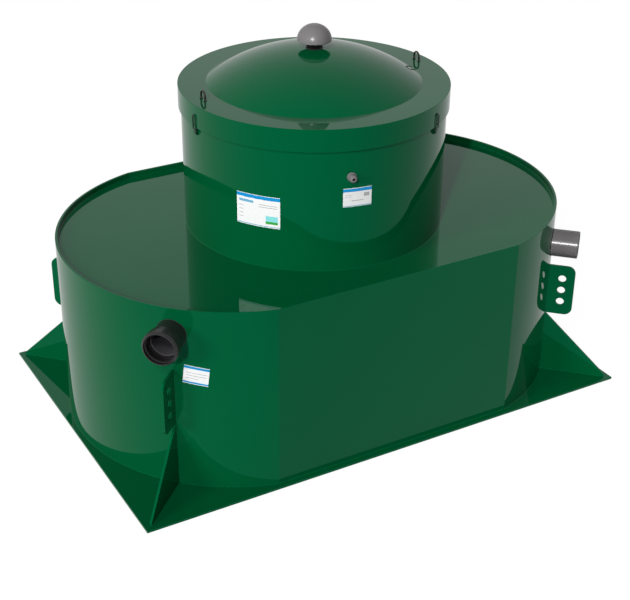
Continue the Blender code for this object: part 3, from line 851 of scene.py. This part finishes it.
def make_pipes():
    """Inlet pipe with its socket, and the outlet pipe."""
    inner = PIPE_RADIUS - PIPE_T
    angle = corner_angle(-1, -1)
    x, y = end_point(-1, angle, 0.0)
    place = radial_frame(x, y, INLET_Z, angle)
    pipe_end = INLET_REACH - SOCKET_DEPTH
    pipe = rounded(tube(PIPE_RADIUS, inner, -PIPE_INSIDE, pipe_end), (0.001, 0.0, 0.0, 0.001))
    turned("inlet_tube", pipe, place, DARK_PIPE, ["inlet_pipe"], PIPE_STEPS)
    bead_front = INLET_REACH - 2 * SOCKET_LIP_T
    bead_back = bead_front - SOCKET_BEAD_LENGTH
    collar = SOCKET_RADIUS + SOCKET_LIP_T
    socket_profile = [
        (SOCKET_RADIUS, INLET_REACH),
        (collar, INLET_REACH - SOCKET_LIP_T),
        (collar, bead_front),
        (SOCKET_BEAD_RADIUS, bead_front - SOCKET_LIP_T),
        (SOCKET_BEAD_RADIUS, bead_back + SOCKET_LIP_T),
        (collar, bead_back),
        (collar, pipe_end),
        (SOCKET_ROOT_RADIUS, pipe_end - 3 * SOCKET_LIP_T),
        (SOCKET_ROOT_RADIUS, 0.0),
        (PIPE_RADIUS + GAP, 0.0),
        (PIPE_RADIUS + GAP, pipe_end + 0.5 * SOCKET_LIP_T),
        (SOCKET_INSIDE_RADIUS, pipe_end + 2 * SOCKET_LIP_T),
        (SOCKET_INSIDE_RADIUS, INLET_REACH),
    ]
    radii = (0.001, 0.001, 0.001, 0.0015, 0.0015, 0.001, 0.002, 0.002, 0.0, 0.0, 0.0005, 0.001, 0.0008)
    turned("inlet_socket_body", rounded(socket_profile, radii), place, BLACK_PIPE,
           ["inlet_socket"], PIPE_STEPS, 50.0)
    seal_front = INLET_REACH - SOCKET_SEAL_DEPTH
    seal_outer = SOCKET_INSIDE_RADIUS - GAP / 2
    seal = [
        (seal_outer, seal_front),
        (seal_outer, seal_front - 3 * SOCKET_SEAL_T),
        (PIPE_RADIUS - 0.0005, seal_front - 2.5 * SOCKET_SEAL_T),
        (PIPE_RADIUS - 0.0015, seal_front - 1.5 * SOCKET_SEAL_T),
        (PIPE_RADIUS + 0.0005, seal_front - 0.3 * SOCKET_SEAL_T),
    ]
    turned("inlet_lip_seal", rounded(seal, (0.0, 0.0, 0.0006, 0.001, 0.0006)), place, BLACK_RUBBER,
           [], PIPE_STEPS, 60.0)
    angle = corner_angle(1, -1)
    x, y = end_point(1, angle, 0.0)
    place = radial_frame(x, y, OUTLET_Z, angle)
    profile = tube(PIPE_RADIUS, inner, -PIPE_INSIDE, OUTLET_REACH)
    turned("outlet_tube", rounded(profile, (OUTLET_END_ROUND, 0.0, 0.0, 0.0003), 8), place, GREY_PIPE,
           ["outlet_pipe"], PIPE_STEPS)


# ---------------------------------------------------------------- small pieces

def make_eyes():
    """Wire eyes on the lid ring."""
    half = EYE_WIDTH / 2
    straight = EYE_HEIGHT - EYE_WIRE_RADIUS - half
    route = [(half, 0.0, 0.0), (half, 0.0, straight * 0.5)]
    route += [(x, 0.0, z) for x, z in arc(0.0, straight, half, 0.0, math.pi, 28)]
    route += [(-half, 0.0, straight * 0.5), (-half, 0.0, 0.0)]
    for side, sign in (("left", -1), ("right", 1)):
        place = Matrix.Translation((sign * EYE_X, 0.0, RING_TOP_Z)) @ Matrix.Rotation(math.pi / 2, 4, "Z")
        wire(f"eye_wire_{side}", route, EYE_WIRE_RADIUS, place, STEEL_WIRE, [f"lifting_eye_{side}"])
    height = 2 * EYE_WIRE_RADIUS
    feet = [(sign * EYE_X, leg * half, RING_TOP_Z) for sign in (-1, 1) for leg in (-1, 1)]
    sizes = {"Foot radius": 1.7 * EYE_WIRE_RADIUS, "Top radius": 1.15 * EYE_WIRE_RADIUS, "Height": height}
    grown("eye_collars", [([foot], False) for foot in feet], collar_tree(), sizes, STEEL_WIRE)


def make_latches():
    """Latches: a wedge body with its pin on the neck, a wire bail, and a keeper on the skirt, all in the body's green
    darkened as painted shade.
    """
    block_top = SKIRT_BOTTOM_Z - 0.004
    block_middle = block_top - LATCH_BLOCK_HEIGHT / 2
    tall = LATCH_BLOCK_HEIGHT / 2
    deep = LATCH_BLOCK_REACH
    body = [(0.0005, -tall), (0.3 * deep, -tall), (0.9 * deep, -0.45 * tall), (0.9 * deep, 0.1 * tall),
            (0.6 * deep, 0.45 * tall), (0.35 * deep, tall), (0.0005, tall)]
    body = rounded(body, (0.0, 0.002, 0.002, 0.002, 0.002, 0.001, 0.0))
    pin_length = BAIL_WIDTH / 2 + BAIL_WIRE_RADIUS
    pin = rounded([(0.0, pin_length), (0.0022, pin_length), (0.0022, -pin_length), (0.0, -pin_length)],
                  (0.0, 0.0006, 0.0006, 0.0))
    reach = LID_RADIUS + 0.001 + BAIL_WIRE_RADIUS
    half = BAIL_WIDTH / 2
    shoulder = BAIL_TOP_Z - BAIL_WIRE_RADIUS - half
    foot_z = block_top - 0.002
    route = [(reach - 0.001, half, foot_z), (reach, half, (block_top + shoulder) / 2)]
    route += [(reach, y, z) for y, z in arc(0.0, shoulder, half, 0.0, math.pi, 24)]
    route += [(reach, -half, (block_top + shoulder) / 2), (reach - 0.001, -half, foot_z)]
    keeper = rounded([(0.0, 0.0055), (0.0032, 0.0055), (0.0045, 0.0), (0.0, 0.0)], (0.0, 0.001, 0.0, 0.0))
    for number, degrees in enumerate(LATCH_ANGLES, start=1):
        angle = math.radians(degrees)
        turn = Matrix.Rotation(angle, 4, "Z")
        out = Vector((math.cos(angle), math.sin(angle), 0.0))
        x, y, z = out * NECK_RADIUS + Vector((0.0, 0.0, block_middle))
        middle = upright_frame(x, y, z, angle)
        plate(f"latch_body_{number}", [body], 0.8 * LATCH_BLOCK_WIDTH, middle, LATCH_PAINTED_SHADE_MOULD,
              [f"latch_block_{number}"])
        hinge = upright_frame(*(out * reach + Vector((0.0, 0.0, foot_z))), angle)
        turned(f"latch_pin_{number}", pin, hinge, LATCH_PAINTED_SHADE_MOULD, [], SMALL_STEPS)
        wire(f"latch_wire_{number}", route, BAIL_WIRE_RADIUS, turn, LATCH_PAINTED_SHADE_MOULD,
             [f"latch_bail_{number}"])
        x, y, z = out * LID_RADIUS + Vector((0.0, 0.0, shoulder + 0.5 * half))
        turned(f"latch_keeper_{number}", keeper, radial_frame(x, y, z, angle), LATCH_PAINTED_SHADE_MOULD,
               [], SMALL_STEPS)


def make_gland():
    """The cable gland."""
    angle = math.radians(GLAND_ANGLE)
    place = radial_frame(NECK_RADIUS * math.cos(angle), NECK_RADIUS * math.sin(angle), GLAND_Z, angle)
    flange = rounded(tube(GLAND_FLANGE_RADIUS, GLAND_BORE_RADIUS, 0.0, GLAND_FLANGE_T), (0.0012, 0.0, 0.0, 0.0))
    turned("gland_flange", flange, place, GREY_CAP, ["cable_gland_flange"], SMALL_STEPS)
    nut = [
        (GLAND_NUT_RADIUS - 0.006, GLAND_LENGTH),
        (GLAND_NUT_RADIUS - 0.002, GLAND_LENGTH - 0.003),
        (GLAND_NUT_RADIUS, GLAND_LENGTH - 0.009),
        (GLAND_NUT_RADIUS, GLAND_FLANGE_T),
        (GLAND_BORE_RADIUS, GLAND_FLANGE_T),
        (GLAND_BORE_RADIUS, GLAND_LENGTH),
    ]
    turned("gland_nut", rounded(nut, (0.002, 0.004, 0.004, 0.0, 0.0, 0.0008)), place, GREY_CAP,
           ["cable_gland_nut"], SMALL_STEPS, 50.0)
    plug = rounded(tube(GLAND_BORE_RADIUS - GAP / 2, 0.003, GLAND_FLANGE_T, GLAND_LENGTH - 0.002), (0.0008, 0.0, 0.0, 0.0008))
    turned("gland_seal", plug, place, BLACK_RUBBER, [], SMALL_STEPS, 50.0)


def curved_label(name, centre_x, wall_radius, label, tilt, finish, node):
    """A thin printed sheet that follows a round wall, with its own UV map."""
    degrees, width, bottom, top = label
    across, up = 32, 2
    inner = wall_radius + 0.0002
    outer = inner + 0.0006
    vertices, faces = [], []
    for radius in (outer, inner):
        for j in range(up + 1):
            for i in range(across + 1):
                angle = (i / across - 0.5) * width / wall_radius
                vertices.append((radius * math.cos(angle) - inner, radius * math.sin(angle), (j / up - 0.5) * (top - bottom)))
    row = across + 1
    layer = row * (up + 1)
    for j in range(up):
        for i in range(across):
            k = j * row + i
            faces.append((k, k + 1, k + 1 + row, k + row))
            faces.append((k + layer, k + row + layer, k + 1 + row + layer, k + 1 + layer))
    rim = [i for i in range(across)] + [across + j * row for j in range(up)]
    rim += [up * row + across - i for i in range(across)] + [(up - j) * row for j in range(up)]
    for first, second in zip(rim, rim[1:] + rim[:1]):
        faces.append((first, first + layer, second + layer, second))
    angle = math.radians(degrees)
    turn = Matrix.Rotation(angle, 4, "Z")
    place = Matrix.Translation((centre_x + inner * math.cos(angle), inner * math.sin(angle), (bottom + top) / 2)) @ turn
    place = place @ Matrix.Rotation(math.radians(tilt), 4, "X")
    piece = raw_piece(name, vertices, faces, place)
    uv = piece.data.uv_layers.new(name="sheet")
    for loop in piece.data.loops:
        x, y, z = piece.data.vertices[loop.vertex_index].co
        uv.data[loop.index].uv = (y / width + 0.5, z / (top - bottom) + 0.5)
    shade(piece, 40.0)
    finish_piece(piece, finish, [node])


def make_labels():
    """Two labels on the neck and one beside the inlet."""
    curved_label("large_label_film", 0.0, NECK_RADIUS, LARGE_LABEL, 0.0, LARGE_LABEL_FILM, "label_large")
    curved_label("small_label_film", 0.0, NECK_RADIUS, SMALL_LABEL, 0.0, SMALL_LABEL_FILM, "label_small")
    curved_label("inlet_label_film", -END_CENTRE_X, END_RADIUS, INLET_LABEL, INLET_LABEL_TILT, INLET_LABEL_FILM,
                 "label_inlet")


def tank_outline(inset):
    """The tank's round-ended outline, drawn in from its outer faces."""
    radius = END_RADIUS - inset
    bend = math.asin((TANK_WIDTH / 2 - inset) / radius)
    outline = arc(END_CENTRE_X, 0.0, radius, -bend, bend, END_STEPS)
    return outline + arc(-END_CENTRE_X, 0.0, radius, math.pi - bend, math.pi + bend, END_STEPS)


def saddle(sign_x, z, radius):
    """The line on the round end's wall round a pipe."""
    angle = corner_angle(sign_x, -1)
    place = radial_frame(*end_point(sign_x, angle, 0.0), z, angle)
    points = []
    for side, up in circle(0.0, 0.0, radius, PIPE_STEPS):
        points.append(place @ Vector((side, up, math.sqrt(END_RADIUS**2 - side**2) - END_RADIUS)))
    return points


def make_welds():
    """Extrusion weld beads where the sheets meet."""
    beads = bead_tree()
    sizes = {"Bead radius": WELD_RADIUS, "Step": RIPPLE_PITCH / 4, "Ripple pitch": RIPPLE_PITCH, "Ripple depth": RIPPLE_DEPTH}
    foot = [(x, y, SHEET) for x, y in tank_outline(0.0)]
    grown("tank_foot_bead", [(foot, True)], beads, sizes, GREEN_WELD)
    paths = []
    toe = CORNER_RUN.length - END_RADIUS - GUSSET_TOE_CLEARANCE
    lug_z = GUSSET_TOP_Z + GAP
    for sign_x in (-1, 1):
        for sign_y in (-1, 1):
            angle = corner_angle(sign_x, sign_y)
            x, y = end_point(sign_x, angle, 0.0)
            place = upright_frame(x, y, 0.0, angle)
            for side in (-SHEET / 2, SHEET / 2):
                paths.append(([place @ Vector(point) for point in (
                    (toe, SHEET, side), (0.0, SHEET, side), (0.0, GUSSET_TOP_Z - 0.002, side))], False))
                paths.append(([place @ Vector(point) for point in (
                    (0.0, lug_z + 0.002, side), (0.0, lug_z + LUG_HEIGHT - 0.002, side))], False))
    grown("corner_beads", paths, beads, sizes, GREEN_WELD)
    sizes["Bead radius"] = DECK_WELD_RADIUS
    pipes = [(saddle(-1, INLET_Z, SOCKET_ROOT_RADIUS), True), (saddle(1, OUTLET_Z, PIPE_RADIUS), True)]
    grown("pipe_wall_seals", pipes, beads, {**sizes, "Ripple depth": 0.0}, BLACK_RUBBER)
    rim = [(x, y, DECK_TOP_Z) for x, y in tank_outline(SHEET)]
    neck = [(x, y, DECK_TOP_Z) for x, y in circle(0.0, 0.0, NECK_RADIUS, ROUND_STEPS)]
    grown("deck_beads", [(rim, True), (neck, True)], beads, sizes, GREEN_WELD)


# ---------------------------------------------------------------- studio

def sun(name, left_degrees, up_degrees, strength, spread_degrees, mirrored=False):
    """A distant studio lamp, placed by its angle left of the front and above the floor."""
    lamp = bpy.data.lights.new(name, "SUN")
    lamp.energy = strength
    lamp.angle = math.radians(spread_degrees)
    holder = bpy.data.objects.new(name, lamp)
    left, up = math.radians(left_degrees), math.radians(up_degrees)
    towards = Vector((-math.sin(left) * math.cos(up), -math.cos(left) * math.cos(up), math.sin(up)))
    holder.rotation_euler = towards.to_track_quat("Z", "Y").to_euler()
    holder.location = towards * 8.0
    holder.visible_glossy = mirrored
    bpy.context.scene.collection.objects.link(holder)
    return holder


def soft_room(tree, background, seen, mirrored, dim):
    """White for the eye, a little dimmer in mirrors, and dark as light on matt surfaces."""
    path = tree.nodes.new("ShaderNodeLightPath")
    level = tree.nodes.new("ShaderNodeMapRange")
    level.inputs["To Min"].default_value = mirrored
    level.inputs["To Max"].default_value = dim
    tree.links.new(path.outputs["Is Diffuse Ray"], level.inputs["Value"])
    choose = tree.nodes.new("ShaderNodeMix")
    choose.data_type = "FLOAT"
    tree.links.new(path.outputs["Is Camera Ray"], choose.inputs[0])
    tree.links.new(level.outputs["Result"], choose.inputs[2])
    choose.inputs[3].default_value = seen
    tree.links.new(choose.outputs[0], background.inputs["Strength"])


def make_studio():
    """White room, pale floor, key light from the front left and a soft fill from the left."""
    world = bpy.data.worlds.new("white_room")
    world.use_nodes = True
    background = world.node_tree.nodes["Background"]
    background.inputs["Color"].default_value = (1.0, 1.0, 1.0, 1.0)
    soft_room(world.node_tree, background, 1.0, 0.67, 0.02)
    bpy.context.scene.world = world
    sun("key_light", 43.3, 28.4, 1.57, 1.5)
    sun("upper_key", 43.3, 45.0, 1.10, 10.0)
    sun("left_fill", 80.0, 20.0, 1.5, 20.0)
    sun("back_fill", -140.0, 10.0, 0.7, 30.0)
    glint = sun("pipe_glint", 43.3, 24.0, 3.6, 3.0, True)
    glint.visible_diffuse = False
    lit_pipe = bpy.data.collections.new("pipe_glint_receivers")
    lit_pipe.objects.link(bpy.data.objects["outlet_tube"])
    lit_pipe.objects.link(bpy.data.objects["vent_mushroom"])
    glint.light_linking.receiver_collection = lit_pipe
    mesh = bpy.data.meshes.new("floor")
    mesh.from_pydata([(-60, -60, -0.0005), (60, -60, -0.0005), (60, 60, -0.0005), (-60, 60, -0.0005)], [], [(0, 1, 2, 3)])
    floor = bpy.data.objects.new("floor", mesh)
    bpy.context.scene.collection.objects.link(floor)
    paper = bpy.data.materials.new("pale_floor")
    paper.use_nodes = True
    tree = paper.node_tree
    shader = tree.nodes["Principled BSDF"]
    shader.inputs["Base Color"].default_value = (0.05, 0.05, 0.05, 1.0)
    shader.inputs["Roughness"].default_value = 1.0
    shader.inputs["Specular IOR Level"].default_value = 0.0
    glow = tree.nodes.new("ShaderNodeEmission")
    soft_room(tree, glow, 0.97, 0.65, 0.02)
    add = tree.nodes.new("ShaderNodeAddShader")
    tree.links.new(shader.outputs[0], add.inputs[0])
    tree.links.new(glow.outputs[0], add.inputs[1])
    tree.links.new(add.outputs[0], tree.nodes["Material Output"].inputs["Surface"])
    mesh.materials.append(paper)
    bpy.context.scene.view_settings.view_transform = "Standard"


def make_camera():
    """The photograph's camera."""
    lens = bpy.data.cameras.new("camera")
    lens.sensor_width = 36.0
    lens.lens = 76.35
    lens.shift_x = 0.02137
    lens.shift_y = -0.00764
    lens.clip_end = 200.0
    camera = bpy.data.objects.new("camera", lens)
    camera.location = (-2.40074, -4.18648, 2.99390)
    turn = Euler((math.pi / 2 - 0.502015, 0.0, -0.511734), "XYZ").to_matrix()
    roll = Matrix.Rotation(0.005027, 3, "Z")
    camera.rotation_euler = (turn @ roll).to_euler()
    bpy.context.scene.collection.objects.link(camera)
    bpy.context.scene.camera = camera


make_camera()
make_base()
make_walls()
make_deck()
make_neck()
make_lid()
make_lid_seal_shadow_line()
make_vent()
make_corners()
make_pipes()
make_eyes()
make_latches()
make_gland()
make_labels()
make_welds()
make_studio()
